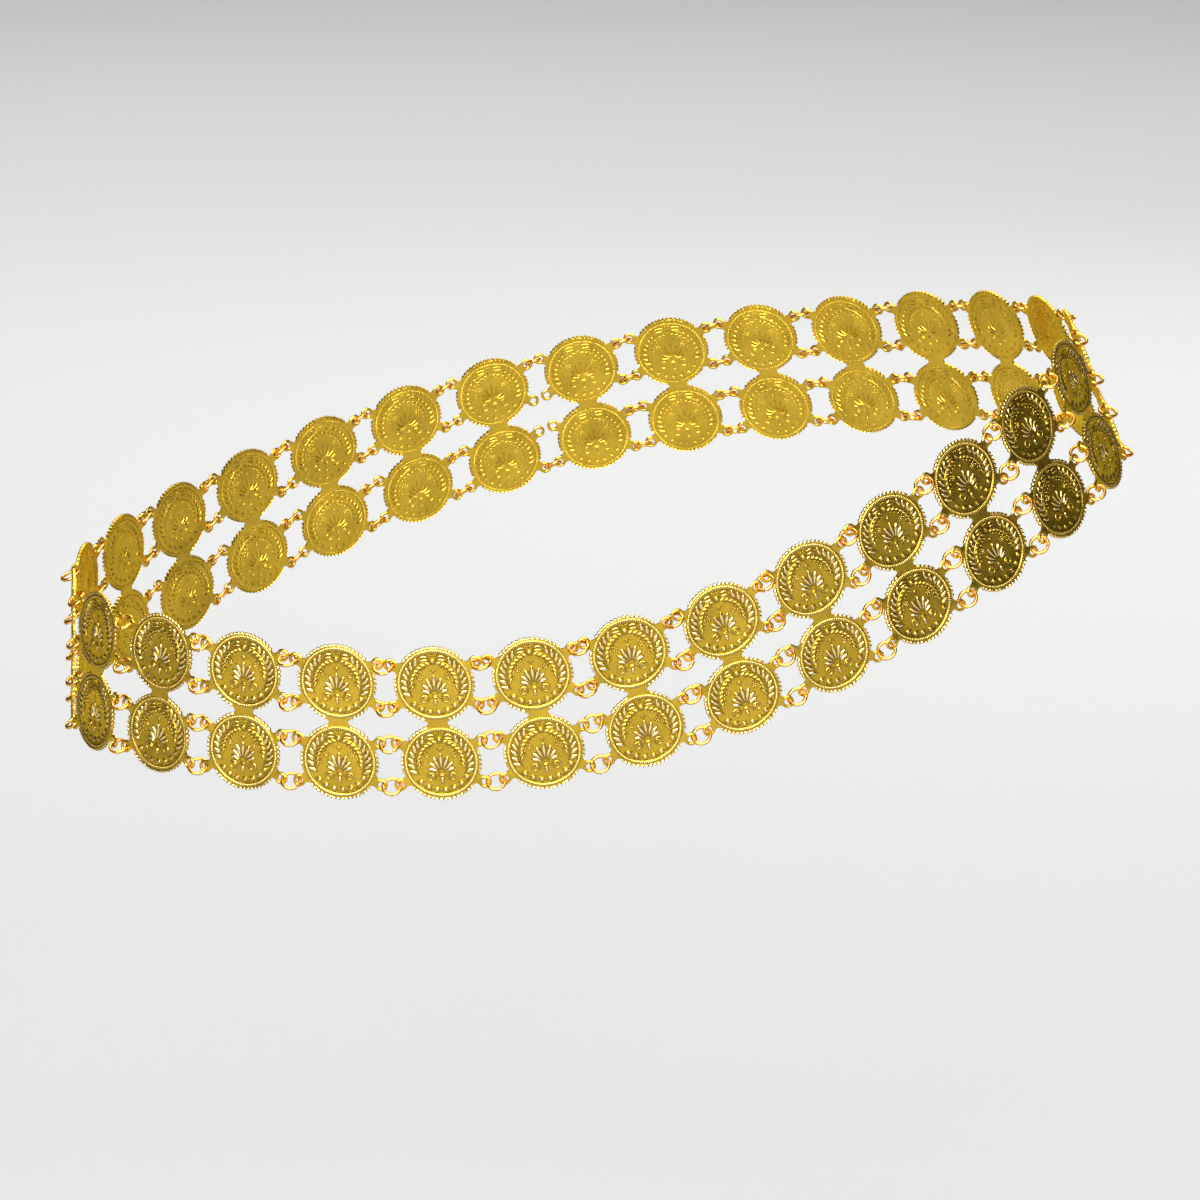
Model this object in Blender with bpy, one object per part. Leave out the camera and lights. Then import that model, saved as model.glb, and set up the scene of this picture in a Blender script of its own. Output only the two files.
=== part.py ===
"""Coin belt for the hips: a closed chain of stamped brass coin pairs on jump rings.

A link is one stamped sheet: two coins, one above the other on a short neck, with four pierced
ears round each coin.  Jump rings join the ears of neighbouring links, four to a joint, and two
wire hooks fasten the belt at the centre back.  The belt is modelled as worn: it slants round
hips that are left open.  Metres, +Z up, front towards -Y, origin in the middle of the loop.
"""

from math import acos, atan2, cos, hypot, pi, radians, sin, sqrt

import bmesh
import bpy
import numpy as np
from mathutils import Matrix, Vector

# The belt round the hips
LINKS = 29
HALF_WIDTH = 0.1625
FRONT_DEPTH = 0.096
BACK_DEPTH = 0.1295
# Waves round the hips: a steady part, and parts that follow the angle, twice and three times it
HEIGHT = {"cos1": 0.0395, "sin1": 0.0185, "cos2": 0.0070, "sin3": -0.0045}
LEAN_SIDEWAYS = {"steady": -0.200, "cos1": -0.215, "cos2": 0.010, "sin2": 0.065}
LEAN_FORE_AFT = {"steady": -0.120, "sin1": -0.065, "cos2": 0.110}
FASTENING_ANGLE = radians(90.0)
PATH_STEPS = 1440

# One link
COIN_RADIUS = 0.0125
COIN_SPACING = 0.0256
SHEET = 0.0008
NECK_WIDTH = 0.0060
EAR_ACROSS = 0.0130
EAR_ALONG = 0.0069
EAR_RADIUS = 0.0020
EAR_HOLE_WIDTH = 0.00235
EAR_ROOT = radians(9.0)

# Jump rings and hooks
RING_RADIUS = 0.00275
WIRE_RADIUS = 0.0005
RING_HANG_SLACK = radians(74.0)
RING_HANG_TAUT = radians(50.0)
RING_SWING = radians(4.0)
RING_GAP_LEAST = 0.0038
RING_SPAN_LEAST = 0.0049
RING_SHIFT = 0.00025
RING_SPAN_MOST = 0.0054
RING_SPAN_SPARE = 0.0003
HOOK_RADIUS = 0.0019
HOOK_EYE_TURN = radians(140.0)
HOOK_TIP_TURN = radians(55.0)
HOOKED_ROWS = {"upper": 0, "lower": 3}

# Facets
TOP_ARC_FACETS = 5
SIDE_ARC_FACETS = 2
EAR_POINT_ANGLES = (radians(-62.0), 0.0, radians(62.0))
RING_FACETS = 7
RING_SIDES = 3
HOOK_EYE_FACETS = 7
HOOK_TIP_FACETS = 5
HOOK_SIDES = 4


def clear_scene():
    for item in list(bpy.data.objects):
        bpy.data.objects.remove(item, do_unlink=True)


def metal(name, colour, roughness):
    material = bpy.data.materials.new(name)
    material.use_nodes = True
    shader = material.node_tree.nodes["Principled BSDF"]
    shader.inputs["Base Color"].default_value = (*colour, 1.0)
    shader.inputs["Metallic"].default_value = 1.0
    shader.inputs["Roughness"].default_value = roughness
    return material


def wave(angle, steady=0.0, cos1=0.0, sin1=0.0, cos2=0.0, sin2=0.0, sin3=0.0):
    """A smooth value round the hips; the angle runs from the right hip by way of the back."""
    return (steady + cos1 * cos(angle) + sin1 * sin(angle)
            + cos2 * cos(2 * angle) + sin2 * sin(2 * angle) + sin3 * sin(3 * angle))


def hip_point(angle):
    """A point of the line through the necks of all the links."""
    depth = BACK_DEPTH if sin(angle) > 0 else FRONT_DEPTH
    return Vector((HALF_WIDTH * cos(angle), depth * sin(angle), wave(angle, **HEIGHT)))


class HipLine:
    """The closed line round the hips, measured along its length from the fastening."""

    def __init__(self):
        angles = FASTENING_ANGLE + np.linspace(0.0, 2 * pi, PATH_STEPS + 1)
        points = [hip_point(angle) for angle in angles]
        steps = [(b - a).length for a, b in zip(points, points[1:])]
        self.angles = angles
        self.lengths = np.concatenate(([0.0], np.cumsum(steps)))
        self.total = float(self.lengths[-1])

    def angle_at(self, along):
        return float(np.interp(along % self.total, self.lengths, self.angles))

    def point_at(self, along):
        return hip_point(self.angle_at(along))


def link_places():
    """A matrix for each link: x across the sheet, y up it and z out of its face."""
    line = HipLine()
    pitch = line.total / LINKS
    places = []
    for number in range(LINKS):
        along = pitch * (number + 0.5)
        angle = line.angle_at(along)
        ahead = line.point_at(along + COIN_RADIUS) - line.point_at(along - COIN_RADIUS)
        up = Vector((wave(angle, **LEAN_SIDEWAYS), wave(angle, **LEAN_FORE_AFT), 1.0)).normalized()
        across = (ahead - up * ahead.dot(up)).normalized()
        outward = across.cross(up)
        place = Matrix((across, up, outward)).transposed().to_4x4()
        place.translation = line.point_at(along)
        places.append(place)
    return places


def on_circle(centre, radius, angle):
    return Vector((centre[0] + radius * cos(angle), centre[1] + radius * sin(angle)))


def arc(centre, radius, start, end, facets):
    """Points of an arc, both ends left out."""
    return [on_circle(centre, radius, start + (end - start) * step / facets)
            for step in range(1, facets)]


def ear(centre, side, upper):
    """One ear's outline, anticlockwise, from its root on the coin and back to it."""
    direction = atan2(EAR_ALONG if upper else -EAR_ALONG, side * EAR_ACROSS)
    middle = on_circle(centre, hypot(EAR_ACROSS, EAR_ALONG), direction)
    tips = [on_circle(middle, EAR_RADIUS, direction + turn) for turn in EAR_POINT_ANGLES]
    return [on_circle(centre, COIN_RADIUS, direction - EAR_ROOT), *tips,
            on_circle(centre, COIN_RADIUS, direction + EAR_ROOT)]


def upper_half_outline():
    """The upper coin's outline, anticlockwise, from the neck's right side to its left."""
    centre = (0.0, COIN_SPACING / 2)
    ear_angle = atan2(EAR_ALONG, EAR_ACROSS)
    neck_angle = acos(NECK_WIDTH / 2 / COIN_RADIUS)
    stops = ((-ear_angle, 1, False), (ear_angle, 1, True),
             (pi - ear_angle, -1, True), (pi + ear_angle, -1, False))
    outline = [on_circle(centre, COIN_RADIUS, -neck_angle)]
    last = -neck_angle
    for angle, side, upper in stops:
        facets = TOP_ARC_FACETS if side == -1 and upper else SIDE_ARC_FACETS
        outline += arc(centre, COIN_RADIUS, last, angle - EAR_ROOT, facets)
        outline += ear(centre, side, upper)
        last = angle + EAR_ROOT
    outline += arc(centre, COIN_RADIUS, last, pi + neck_angle, SIDE_ARC_FACETS)
    outline.append(on_circle(centre, COIN_RADIUS, pi + neck_angle))
    return outline


def link_outline():
    upper = upper_half_outline()
    return upper + [-point for point in upper]


def slab(outline, thickness):
    """A flat plate of the outline's shape, halfway to each side of z = 0."""
    shape = bmesh.new()
    face = shape.faces.new([shape.verts.new((*point, -thickness / 2)) for point in outline])
    raised = bmesh.ops.extrude_face_region(shape, geom=[face])
    top = [item for item in raised["geom"] if isinstance(item, bmesh.types.BMVert)]
    bmesh.ops.translate(shape, verts=top, vec=(0.0, 0.0, thickness))
    bmesh.ops.recalc_face_normals(shape, faces=shape.faces)
    return shape


def ear_centres(side):
    """The ears of one side, top to bottom: two on the upper coin and two on the lower."""
    half = COIN_SPACING / 2
    heights = (half + EAR_ALONG, half - EAR_ALONG, EAR_ALONG - half, -EAR_ALONG - half)
    return [Vector((side * EAR_ACROSS, height, 0.0)) for height in heights]


def add_tube(shape, points, closed, sides):
    """A wire along the points, its section turned so that a corner points out of the bend."""
    middle = sum(points, Vector()) / len(points)
    normal = (points[0] - middle).cross(points[1] - middle).normalized()
    count = len(points)
    rows = []
    for number, point in enumerate(points):
        before = points[number - 1] if closed or number else point
        after = points[(number + 1) % count] if closed or number < count - 1 else point
        tangent = (after - before).normalized()
        outward = tangent.cross(normal).normalized()
        rows.append([shape.verts.new(point + WIRE_RADIUS * (outward * cos(turn) + normal * sin(turn)))
                     for turn in (2 * pi * side / sides for side in range(sides))])
    pairs = list(zip(rows, rows[1:])) + ([(rows[-1], rows[0])] if closed else [])
    for row, following in pairs:
        for side in range(sides):
            other = (side + 1) % sides
            shape.faces.new((row[side], row[other], following[other], following[side]))
    if not closed:
        shape.faces.new(reversed(rows[0]))
        shape.faces.new(rows[-1])


def joint_frame(left, right, up, outward, number):
    """Middle, gap and the two directions of a ring's plane: along the joint and its hang.

    A ring between close ears stands further out than one that is drawn taut.
    """
    gap = (right - left).length
    along = (right - left).normalized()
    slack = min(max((RING_SPAN_MOST - gap) / (RING_SPAN_MOST - RING_GAP_LEAST), 0.0), 1.0)
    hang_angle = RING_HANG_TAUT + slack * (RING_HANG_SLACK - RING_HANG_TAUT)
    hang_angle += RING_SWING * sin(2.4 * number)
    hang = outward * sin(hang_angle) - up * cos(hang_angle)
    hang = (hang - along * hang.dot(along)).normalized()
    return (left + right) / 2, gap, along, hang


def ring_points(left, right, up, outward, number):
    """The wire of a jump ring that hangs in two ear holes."""
    middle, gap, along, hang = joint_frame(left, right, up, outward, number)
    span = min(max(gap + RING_SPAN_SPARE, RING_SPAN_LEAST), RING_SPAN_MOST)
    centre = middle + along * RING_SHIFT + hang * sqrt(RING_RADIUS ** 2 - (span / 2) ** 2)
    return [centre + RING_RADIUS * (along * cos(turn) + hang * sin(turn))
            for turn in (2 * pi * step / RING_FACETS - pi / 2 for step in range(RING_FACETS))]


def hook_points(left, right, up, outward, number):
    """The wire of a hook: an eye round one ear, a straight front, and a hook round the other."""
    middle, gap, along, hang = joint_frame(left, right, up, outward, number)
    reach = gap / 2 - HOOK_RADIUS
    bends = ((middle - along * reach, pi + HOOK_EYE_TURN, pi / 2, HOOK_EYE_FACETS),
             (middle + along * reach, pi / 2, -HOOK_TIP_TURN, HOOK_TIP_FACETS))
    return [centre + HOOK_RADIUS * (along * cos(turn) + hang * sin(turn))
            for centre, start, end, facets in bends
            for turn in (start + (end - start) * step / facets for step in range(facets + 1))]


def add_object(name, shape, material):
    mesh = bpy.data.meshes.new(name)
    shape.to_mesh(mesh)
    shape.free()
    item = bpy.data.objects.new(name, mesh)
    bpy.context.collection.objects.link(item)
    mesh.materials.append(material)
    return item


def add_cutter(name, shape, material):
    cutter = add_object(name, shape, material)
    cutter.display_type = "WIRE"
    cutter.hide_render = True
    return cutter


def combine(item, other, operation):
    modifier = item.modifiers.new(operation.title(), "BOOLEAN")
    modifier.operation = operation
    modifier.solver = "EXACT"
    modifier.object = other


def hole_cutter(name, centres, material):
    """Square pegs that pierce the ears."""
    shape = bmesh.new()
    size = Matrix.Diagonal((EAR_HOLE_WIDTH, EAR_HOLE_WIDTH, 3 * SHEET, 1.0))
    for centre in centres:
        bmesh.ops.create_cube(shape, size=1.0, matrix=Matrix.Translation(centre) @ size)
    return add_cutter(name, shape, material)


def joints(places):
    """For each link, its right-hand ears and the next link's left-hand ears, as pairs."""
    for number, place in enumerate(places):
        following = places[(number + 1) % LINKS]
        up = (place.col[1] + following.col[1]).to_3d().normalized()
        outward = (place.col[2] + following.col[2]).to_3d().normalized()
        yield number, up, outward, [(place @ right, following @ left)
                                    for right, left in zip(ear_centres(1), ear_centres(-1))]


def pierced_blank(name, sides, material):
    """The stamped sheet, with the ears of the given sides pierced."""
    blank = add_object(name, slab(link_outline(), SHEET), material)
    centres = [centre for side in sides for centre in ear_centres(side)]
    cutter = hole_cutter(f"{name}_holes", centres, material)
    combine(blank, cutter, "DIFFERENCE")
    mesh = bpy.data.meshes.new_from_object(blank.evaluated_get(bpy.context.evaluated_depsgraph_get()))
    for item in (blank, cutter):
        bpy.data.objects.remove(item, do_unlink=True)
    return mesh


def add_link(number, mesh, place):
    link = bpy.data.objects.new(f"coin_pair_{number + 1:02d}", mesh)
    bpy.context.collection.objects.link(link)
    link.matrix_world = place
    return link


def add_rings(link, number, place, pairs, up, outward, material):
    """The four jump rings on a link's right-hand ears, made one piece with it."""
    wire = bmesh.new()
    to_link = place.inverted()
    for row, (left, right) in enumerate(pairs):
        ring = ring_points(left, right, up, outward, len(pairs) * number + row)
        add_tube(wire, [to_link @ point for point in ring], True, RING_SIDES)
    bmesh.ops.recalc_face_normals(wire, faces=wire.faces)
    rings = add_cutter(f"rings_{number + 1:02d}", wire, material)
    rings.parent = link
    combine(link, rings, "UNION")


def add_hooks(pairs, up, outward, material):
    for name, row in HOOKED_ROWS.items():
        wire = bmesh.new()
        add_tube(wire, hook_points(*pairs[row], up, outward, row), False, HOOK_SIDES)
        bmesh.ops.recalc_face_normals(wire, faces=wire.faces)
        add_object(f"hook_{name}", wire, material)


def build():
    clear_scene()
    coin_gold = metal("coin_gold", (0.72, 0.56, 0.20), 0.32)
    link_gold = metal("link_gold", (0.80, 0.52, 0.17), 0.25)
    ringed = pierced_blank("ringed_blank", (-1,), coin_gold)
    hooked = pierced_blank("hooked_blank", (-1, 1), coin_gold)
    places = link_places()
    for number, up, outward, pairs in joints(places):
        if number < LINKS - 1:
            link = add_link(number, ringed, places[number])
            add_rings(link, number, places[number], pairs, up, outward, link_gold)
        else:
            add_link(number, hooked, places[number])
            add_hooks(pairs, up, outward, link_gold)


build()
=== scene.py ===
"""Coin belt, dressed: struck coin links, split jump rings and wire hooks, in a pale studio.

Every link is one thin sheet, struck with a die.  The die's lines are drawn first, points with a
height and the lines between them, and the sheet is then stretched over them, face and back.
Metres, +Z up, front towards -Y.
"""

import random
from math import acos, atan2, cos, hypot, pi, radians, sin, sqrt

import bpy
import numpy as np
from bpy.props import FloatProperty, FloatVectorProperty, IntProperty, PointerProperty
from mathutils import Matrix, Vector
from mathutils.geometry import delaunay_2d_cdt


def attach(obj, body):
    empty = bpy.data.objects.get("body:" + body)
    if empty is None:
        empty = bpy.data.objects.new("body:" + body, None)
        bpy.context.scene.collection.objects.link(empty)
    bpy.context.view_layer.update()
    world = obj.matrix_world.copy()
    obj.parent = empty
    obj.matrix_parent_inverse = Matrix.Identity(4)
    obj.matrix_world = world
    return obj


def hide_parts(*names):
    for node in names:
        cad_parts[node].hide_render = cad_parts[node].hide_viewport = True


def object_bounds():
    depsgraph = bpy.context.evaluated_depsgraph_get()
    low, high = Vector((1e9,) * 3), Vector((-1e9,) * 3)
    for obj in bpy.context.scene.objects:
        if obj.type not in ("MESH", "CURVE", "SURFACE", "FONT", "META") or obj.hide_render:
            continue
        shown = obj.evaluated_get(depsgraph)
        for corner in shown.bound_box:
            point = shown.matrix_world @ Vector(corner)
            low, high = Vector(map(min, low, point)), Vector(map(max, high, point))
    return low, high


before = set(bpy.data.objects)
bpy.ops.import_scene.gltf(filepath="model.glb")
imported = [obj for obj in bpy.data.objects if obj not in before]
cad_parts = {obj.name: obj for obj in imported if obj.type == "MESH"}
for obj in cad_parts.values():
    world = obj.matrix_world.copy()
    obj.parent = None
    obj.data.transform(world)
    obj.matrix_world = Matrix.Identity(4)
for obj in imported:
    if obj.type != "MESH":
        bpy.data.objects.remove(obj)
cad_box = [list(corner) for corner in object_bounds()]

bl_info = {
    "name": "Coin Belt",
    "version": (1, 0, 0),
    "blender": (4, 5, 0),
    "location": "3D Viewport > Sidebar > Coin Belt",
    "description": "Strikes the links of a coin belt, hangs its rings and hooks, and lights it",
    "category": "Object",
}

MM = 0.001

# The belt as worn: waves round the hips, as in the solids
HEIGHT = {"cos1": 0.0395, "sin1": 0.0185, "cos2": 0.0070, "sin3": -0.0045}
LEAN_SIDEWAYS = {"steady": -0.200, "cos1": -0.215, "cos2": 0.010, "sin2": 0.065}
LEAN_FORE_AFT = {"steady": -0.120, "sin1": -0.065, "cos2": 0.110}
FASTENING_ANGLE = radians(90.0)
PATH_STEPS = 1440
LINKS = sum(name.startswith("coin_pair_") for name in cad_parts)

# How a jump ring hangs in two ears, as in the solids
RING_HANG_SLACK = radians(74.0)
RING_HANG_TAUT = radians(50.0)
RING_SWING = radians(4.0)
RING_SWING_STEP = 2.4
RING_GAP_LEAST = 3.8 * MM
RING_SPAN_LEAST = 4.9 * MM
RING_SHIFT = 0.25 * MM
RING_SPAN_MOST = 5.4 * MM
RING_SPAN_SPARE = 0.3 * MM
HOOK_EYE_TURN = radians(140.0)
HOOK_TIP_TURN = radians(55.0)
HOOK_FACETS = (22, 14)
RING_FACETS = 28
RING_WIRE_SIDES = 12
HOOK_WIRE_SIDES = 14
SPLIT_TURN = radians(90.0)
SPLIT_SPREAD = radians(75.0)
SPLIT_SEED = 5
HOOKED_ROWS = {"upper": 0, "lower": 3}

# Bands of the coin, as shares of its radius
FIELD_EDGE = 0.826
RIB_BAND = (0.838, 0.908)
RIB_BAND_EDGE = 0.916
TOOTH_FOOT = 0.936
NOTCH = 0.958
CIRCLE_FACETS = 96
RIB_REACH = 0.45
RIB_WIDTH = 0.64
RIB_INSET = 0.16

# Heights of the struck relief over the field
RIB_BAND_RISE = 0.10 * MM
PLAIN_BAND_RISE = 0.04 * MM
TOOTH_RISE = 0.36 * MM
PRESSED_THROUGH = 0.75
# Depth of a hollow on the back at which its painted shade is full
FULL_PAINTED_SHADE_DEPTH = 0.60 * MM

# The wreath: a stroke is its width and height, a berry its radius, height and facets, and
# angles are from the coin's top
STEM = (0.26 * MM, 0.16 * MM)
STEM_ARC = (radians(13.0), radians(118.0), 18)
LEAF_OFFSET = 0.25 * MM
LONG_LEAF_LEAN = radians(40.0)
FIRST_LONG_LEAF = radians(42.0)
SHORT_LEAF_LEAN = radians(38.0)
FIRST_SHORT_LEAF = radians(20.0)
SHORT_LEAF_SHARES = {"length": 0.70, "width": 0.72, "rise": 0.85}
BERRY = (0.24 * MM, 0.20 * MM, 6)
BERRY_INSET = 1.95 * MM
FIRST_BERRY = radians(19.0)

# The burst at the wreath's top: its tips, its two radii and its height; a ribbon is its
# start over the burst, its reach and its arch in millimetres
BURST = (8, 1.22 * MM, 0.50 * MM, 0.42 * MM)
BURST_HEIGHT = 0.97
RIBBON = (0.60 * MM, 0.36 * MM)
RIBBONS = ((0.42, 2.8, 0.10), (1.28, 2.9, 0.45))
RIBBON_START = 1.30 * MM
RIBBON_DROP = 0.25 * MM
RIBBON_POINTS = 7
TOP_DOTS_RADIUS = 9.55 * MM
TOP_DOTS_APART = radians(5.0)

# The row of stars
STAR_STEP = radians(17.3)
STARS_MIDDLE = radians(-85.0)
STAR_TIPS = 5
STAR_INNER = 0.45
STAR_RISE = 0.50 * MM

# The middle of the coin: a leaf is its length, width and height, then its steps and if it
# has a vein; the points across a tie are in millimetres
PETALS_ASIDE = 3
PETAL_STEP = radians(23.0)
PETAL_FOOT = 0.95 * MM
PETAL = (0.94 * MM, 0.40 * MM)
PALMETTE_FOOT = -2.45 * MM
PALMETTE_DROP = -0.26 * MM
PALMETTE_SIZE = 1.2
SCROLL = (0.36 * MM, 0.26 * MM)
SCROLL_TURNS = (0.0, 1.35 * 2 * pi, 20)
SCROLL_MIDDLE = (2.75 * MM, -3.70 * MM)
TIE = (0.30 * MM, 0.24 * MM)
TIE_DROPS = (0.40 * MM, 0.80 * MM)
TIE_ACROSS = (-0.75, -0.4, 0.0, 0.4, 0.75)
PENDANT = (1.9 * MM, 0.85 * MM, 0.34 * MM)
PENDANT_DROP = 1.2 * MM
TOP_STAR = (4, 0.80 * MM, 0.26 * MM, 0.30 * MM)
TOP_STAR_HEIGHT = 4.55 * MM
FLORET_MIDDLE = (4.15 * MM, 2.35 * MM)
FLORET_HEART = (0.26 * MM, 0.30 * MM, 6)
FLORET_PETAL = (0.60 * MM, 0.42 * MM, 0.24 * MM, 3, False)
FLORET_PETALS = 5
FLORET_RADIUS = 0.34 * MM

# Loose points over the bare field, and the least distance between the die's lines
FIELD_PITCH = 0.55 * MM
FIELD_CLEARANCE = 0.34 * MM
CROSSING = 1e-6
INSIDE_THE_LINES = 1

# The outline: throats beside the ears, and a tooth's shoulder and tip as shares of its step
THROAT_RADIUS = 1.2 * MM
SHOULDER = 0.36
SHOULDER_RISE = 0.72
TIP = 0.70
TOOTH_THICKENING = 0.08 * MM

# A tooth's two ridges: share of the foot inwards and share of the pitch onwards, end to end
RIDGES = ((0.86, 0.10), (0.40, 0.36), (0.80, 0.46), (0.16, 0.70))
TROUGH_START = (0.96, -0.16)
TROUGH_END = (0.10 * MM, -0.04)

# Rings about an ear's hole: share of the ear's width, and share of its rise
EAR_RINGS = ((0.0, 0.45), (0.25, 0.92), (0.68, 0.92))
EAR_RIM_RISE = 0.4
EAR_RING_FACETS = 16

# The gold: its colour at a glancing angle, where the paler relief and the tone set in, and the painted
# shade at the foot of the relief and in the back's hollows
EDGE_TINT = (0.95, 0.80, 0.40, 1.0)
RAISED_FROM, RAISED_TO = 0.12 * MM, 0.32 * MM
NOISE_ROUGHNESS = 0.55
NOISE_MIDDLE = (0.35, 0.65)
NOISE_MOST = (0.3, 0.7)
COIN_TONE = 0.78
WIRE_TONE = 0.86
# Painted shade: the share of the mask over which it fades in, and its strongest share
PAINTED_SHADE_RANGE = (0.35, 0.95)
PAINTED_SHADE_MOST = 0.80
POLISH = 0.10
SMUDGE = (-0.05, 0.07)
WEAR = (-0.05, 0.10)

# Numbers of a mix node's share, its two colours and their mix
MIX_INPUTS = (0, 6, 7)
MIX_RESULT = 2

# Sizes of the patterns, in cycles to a metre, and each bump's strength and depth
TONE_SCALE = 80.0
SMUDGE_SCALE = 260.0
DENT_SCALE, DENTS = 900.0, (0.35, 0.02 * MM)
GRAIN_SCALE, GRAIN = 5200.0, (0.30, 0.012 * MM)
WIRE_TONE_SCALE = 120.0
WEAR_SCALE = 700.0
DRAWING_SCALE, DRAWING = 2600.0, (0.25, 0.015 * MM)
PAPER_SCALE, PAPER = 400.0, (0.05, 0.5 * MM)

# The studio
FLOOR_REACH = 30.0
FLOOR_ROUGHNESS = 0.85
AIR_COLOUR = (1.0, 0.98, 0.95, 1.0)
SENSOR_WIDTH = 36.0
CLIP_START = 0.05
AIM_ASIDE = 4.44 * MM
AIM_DROP = 20.44 * MM


def length_of(name, description, default, **limits):
    return FloatProperty(name=name, description=description, default=default, unit="LENGTH", **limits)


def colour_of(name, description, default):
    return FloatVectorProperty(name=name, description=description, default=default,
                               subtype="COLOR", min=0.0, max=1.0)


def share_of(name, description, default):
    return FloatProperty(name=name, description=description, default=default, min=0.0, max=1.0)


def turn_of(name, description, default):
    return FloatProperty(name=name, description=description, default=default, subtype="ANGLE")


def count_of(name, description, default):
    return IntProperty(name=name, description=description, default=default)


class WornShape(bpy.types.PropertyGroup):
    half_width: length_of(
        "Half Width", "Half the loop's width round the hips", 0.1625, min=0.05, max=0.4)
    front_depth: length_of(
        "Front Depth", "From the loop's middle to its front", 0.096, min=0.03, max=0.3)
    back_depth: length_of("Back Depth", "From the loop's middle to its back", 0.1295, min=0.03, max=0.3)


class CoinSizes(bpy.types.PropertyGroup):
    radius: length_of("Coin Radius", "To the tips of the edge's teeth", 12.5 * MM)
    spacing: length_of("Coin Spacing", "Between the middles of a link's two coins", 25.6 * MM)
    sheet: length_of("Sheet", "Thickness of the brass sheet", 0.6 * MM)
    neck_width: length_of("Neck Width", "Narrowest width between the two coins", 6.0 * MM)
    ear_across: length_of("Ear Across", "From a coin's middle to an ear's hole, across", 13.0 * MM)
    ear_along: length_of("Ear Along", "From a coin's middle to an ear's hole, up or down", 6.9 * MM)
    ear_radius: length_of("Ear Radius", "Outer radius of an ear", 2.0 * MM)
    ear_hole: length_of("Ear Hole", "Radius of an ear's hole", 1.1 * MM)
    ear_rise: length_of("Ear Rise", "Half the thickness of an ear's rounded rim", 0.50 * MM)
    teeth: count_of("Teeth", "Slanted teeth that a whole edge would have", 57)
    ribs: count_of("Ribs", "Ribs of the fine ring inside the edge", 115)
    rib_rise: length_of("Rib Rise", "Height of the ribs over their band", 0.22 * MM)
    spring: length_of(
        "Spring", "How far the thin sheet springs out of true in a coin's field", 0.28 * MM)


class WreathSizes(bpy.types.PropertyGroup):
    stem_radius: length_of("Stem Radius", "From the coin's middle to the wreath's stem", 7.85 * MM)
    leaf_step: turn_of("Leaf Step", "Angle from leaf to leaf", radians(12.2))
    outer_leaves: count_of("Outer Leaves", "Long leaves on each branch", 7)
    inner_leaves: count_of("Inner Leaves", "Short leaves on each branch", 8)
    leaf_length: length_of("Leaf Length", "Of a long leaf", 2.95 * MM)
    leaf_width: length_of("Leaf Width", "Of a long leaf", 1.30 * MM)
    leaf_rise: length_of("Leaf Rise", "Height of the leaves", 0.34 * MM)
    stars: count_of("Stars", "Stars below the wreath", 7)
    star_radius: length_of("Star Radius", "To a star's tips", 1.2 * MM)
    star_circle: length_of("Star Circle", "From the coin's middle to the stars", 9.0 * MM)


class WireSizes(bpy.types.PropertyGroup):
    ring_radius: length_of("Ring Radius", "Of a jump ring, to the middle of its wire", 2.75 * MM)
    wire_radius: length_of("Wire Radius", "Of the rings' and hooks' wire", 0.55 * MM)
    ring_turns: FloatProperty(
        name="Ring Turns", description="How nearly a split ring closes", default=0.975)
    ring_offset: length_of("Ring Offset", "Sideways step between a split ring's two ends", 0.16 * MM)
    hook_radius: length_of("Hook Radius", "Of the hooks' bends", 1.9 * MM)


class GoldFinish(bpy.types.PropertyGroup):
    # The relief is paler than the field: partly a polished finish, partly a painted highlight on the
    # crests
    relief_polish_and_highlight_colour: colour_of("Coin Colour", "Of the raised relief", (1.0, 0.80, 0.40))
    field_colour: colour_of("Field Colour", "Of the sunk field, a little dulled", (0.70, 0.455, 0.045))
    wire_colour: colour_of("Wire Colour", "Of the rings and hooks", (0.82, 0.43, 0.085))
    # Painted shade: a dark colour laid at the foot of the relief and in the back's hollows, where shade
    # falls
    painted_shade_colour: colour_of(
        "Hollow Colour", "Of the tarnish at the foot of the relief", (0.28, 0.16, 0.01))
    coin_roughness: share_of("Coin Roughness", "Of the sunk field", 0.27)
    wire_roughness: share_of("Wire Roughness", "Of the polished wire", 0.20)


class StudioSetup(bpy.types.PropertyGroup):
    floor_colour: colour_of("Floor Colour", "Of the pale floor", (0.37, 0.37, 0.368))
    floor_drop: length_of("Floor Drop", "From the belt's lowest point down to the floor", 0.25)
    air: FloatProperty(name="Air", description="Strength of the dim light from all round", default=0.08)
    distance: length_of("Camera Distance", "From the camera to the belt's middle", 2.2)
    elevation: turn_of("Camera Elevation", "Of the camera over the belt's middle", radians(12.0))
    turn: turn_of("Camera Turn", "From the belt's front to the camera, towards -X", 0.113)
    focal_pixels: FloatProperty(
        name="Focal Pixels", description="Focal length in pixels of the square frame",
        default=6928.0)
    frame_pixels: FloatProperty(
        name="Frame Pixels", description="Width of the square frame in pixels", default=1200.0)


SETTINGS = {
    "belt_worn": WornShape,
    "belt_coin": CoinSizes,
    "belt_wreath": WreathSizes,
    "belt_wire": WireSizes,
    "belt_gold": GoldFinish,
    "belt_studio": StudioSetup,
}


# The belt round the hips

def wave(angle, steady=0.0, cos1=0.0, sin1=0.0, cos2=0.0, sin2=0.0, sin3=0.0):
    """A smooth value round the hips; the angle runs from the right hip by way of the back."""
    return (steady + cos1 * cos(angle) + sin1 * sin(angle)
            + cos2 * cos(2 * angle) + sin2 * sin(2 * angle) + sin3 * sin(3 * angle))


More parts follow.
